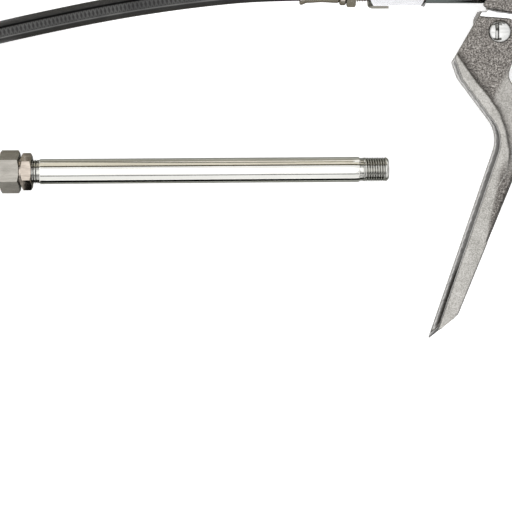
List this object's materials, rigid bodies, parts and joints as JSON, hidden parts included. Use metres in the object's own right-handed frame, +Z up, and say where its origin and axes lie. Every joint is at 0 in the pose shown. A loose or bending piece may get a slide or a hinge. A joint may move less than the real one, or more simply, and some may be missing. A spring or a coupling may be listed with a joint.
{
  "type": "pistol grip grease gun",
  "caption": "Pistol-grip grease gun lying on its side, with a cast squeeze lever, whip hose with jaw coupler, and a loose rigid pipe with its own coupler.",
  "frame": {"origin": "middle of the footprint of the gun and its loose pipe, on the surface that they lie on; the hose isn't counted", "axes": "+X along the barrel towards its pull rod, -X out of the outlet, +Y from the grip to the barrel, +Z up from the table"},
  "size_m": [0.6701, 0.2116, 0.062],
  "materials": {
    "cast_zinc": "as cast, lightly blasted",
    "nickel": "polished nickel",
    "dark_chrome": "dark chrome",
    "zinc_plate": "zinc plated",
    "steel": "turned steel",
    "brass": "turned brass",
    "rubber": "moulded, matt",
    "seal": "smooth",
    "barrel_paint": "powder coat",
    "spring_steel": "oiled wire"
  },
  "bodies": {
    "gun": {"head_casting": "cast_zinc", "grip_handle": "cast_zinc", "grip_sleeve": "rubber", "grip_bolts": "zinc_plate", "grip_nuts": "zinc_plate", "shaft_seals": "seal", "pump_cylinder": "dark_chrome", "union_sleeve": "nickel", "check_spring": "spring_steel", "hose_fitting": "zinc_plate", "front_ferrule": "zinc_plate", "hose": "rubber", "rear_ferrule": "zinc_plate", "hose_end_fitting": "zinc_plate", "hose_coupler_body": "zinc_plate", "hose_coupler_spring": "spring_steel", "loader_nipple": "brass", "barrel_gasket": "seal", "lever_spring": "spring_steel"},
    "lever": {"lever": "cast_zinc", "pivot_shaft": "nickel", "rocker_arm": "steel", "rocker_cross_pin": "steel"},
    "plunger": {"crosshead": "steel", "plunger": "steel"},
    "check_ball": {"check_ball": "steel"},
    "bleeder": {"bleeder_valve": "brass"},
    "barrel": {"grease_barrel": "barrel_paint", "barrel_end_cap": "zinc_plate", "latch_bracket": "zinc_plate", "latch_pin": "steel", "follower_spring": "spring_steel"},
    "follower": {"follower_rod": "steel", "follower_piston": "steel", "follower_seal": "seal", "follower_washer": "zinc_plate", "follower_nut": "steel", "rod_handle": "nickel"},
    "latch": {"rod_latch": "zinc_plate"},
    "hose_nut": {"hose_coupler_nut": "zinc_plate"},
    "hose_jaws": {"hose_coupler_jaws": "steel", "hose_coupler_seal": "seal", "hose_coupler_piston": "brass"},
    "loose_pipe": {"extension_pipe": "zinc_plate", "pipe_adaptor": "zinc_plate", "pipe_coupler_body": "zinc_plate", "pipe_coupler_spring": "spring_steel"},
    "pipe_nut": {"pipe_coupler_nut": "zinc_plate"},
    "pipe_jaws": {"pipe_coupler_jaws": "steel", "pipe_coupler_seal": "seal", "pipe_coupler_piston": "brass"}
  },
  "joints": [
    {"name": "lever_squeeze", "type": "hinge", "parent": "gun", "child": "lever", "pos_m": [-0.0332, 0.0221, 0.02711], "axis": [0, -0.108, 0.9942], "range_deg": [0, 24], "stiffness_Nm_per_rad": 0.8, "springref_deg": -20.05, "deforming": ["lever_spring"]},
    {"name": "plunger_stroke", "type": "slide", "parent": "gun", "child": "plunger", "axis": [-1, 0, 0], "range_m": [0, 0.0068]},
    {"name": "check_ball_lift", "type": "slide", "parent": "gun", "child": "check_ball", "axis": [-1, 0, 0], "range_m": [0, 0.001], "stiffness_N_per_m": 200, "springref_m": -0.002, "deforming": ["check_spring"]},
    {"name": "bleeder_turn", "type": "hinge", "parent": "gun", "child": "bleeder", "pos_m": [0.0048, 0.09169, 0.03467], "axis": [0, 0.9942, 0.108], "range_deg": [0, 540]},
    {"name": "barrel_unscrew", "type": "hinge", "parent": "gun", "child": "barrel", "pos_m": [0.0128, 0.05789, 0.031], "axis": [1, 0, 0], "range_deg": [0, 540]},
    {"name": "follower_pull", "type": "slide", "parent": "barrel", "child": "follower", "axis": [1, 0, 0], "range_m": [0, 0.14], "stiffness_N_per_m": 120, "springref_m": -0.1, "deforming": ["follower_spring"]},
    {"name": "latch_tip", "type": "hinge", "parent": "barrel", "child": "latch", "pos_m": [0.2428, 0.04496, 0.02959], "axis": [0, -0.108, 0.9942], "range_deg": [0, 4], "stiffness_Nm_per_rad": 0.05, "springref_deg": -11.46},
    {"name": "hose_nut_turn", "type": "hinge", "parent": "gun", "child": "hose_nut", "pos_m": [-0.39469, 0.00597, 0.0078], "axis": [0.9998, 0.0214, 0], "range_deg": [0, 540]},
    {"name": "hose_jaws_press", "type": "slide", "parent": "gun", "child": "hose_jaws", "axis": [0.9998, 0.0214, 0], "range_m": [0, 0.0012], "stiffness_N_per_m": 1500, "springref_m": -0.0005, "deforming": ["hose_coupler_spring"]},
    {"name": "pipe_lift_off", "type": "slide", "parent": "gun", "child": "loose_pipe", "axis": [0, 0, 1], "range_m": [0, 0.15]},
    {"name": "pipe_nut_turn", "type": "hinge", "parent": "loose_pipe", "child": "pipe_nut", "pos_m": [-0.2452, -0.03173, 0.00799], "axis": [0.9998, 0.0079, -0.0187], "range_deg": [0, 540]},
    {"name": "pipe_jaws_press", "type": "slide", "parent": "loose_pipe", "child": "pipe_jaws", "axis": [0.9998, 0.0079, -0.0187], "range_m": [0, 0.0012], "stiffness_N_per_m": 1500, "springref_m": -0.0005, "deforming": ["pipe_coupler_spring"]}
  ],
  "couplings": [
    {"joint": "plunger_stroke", "follows": "lever_squeeze", "m_per_rad": 0.01621}
  ]
}
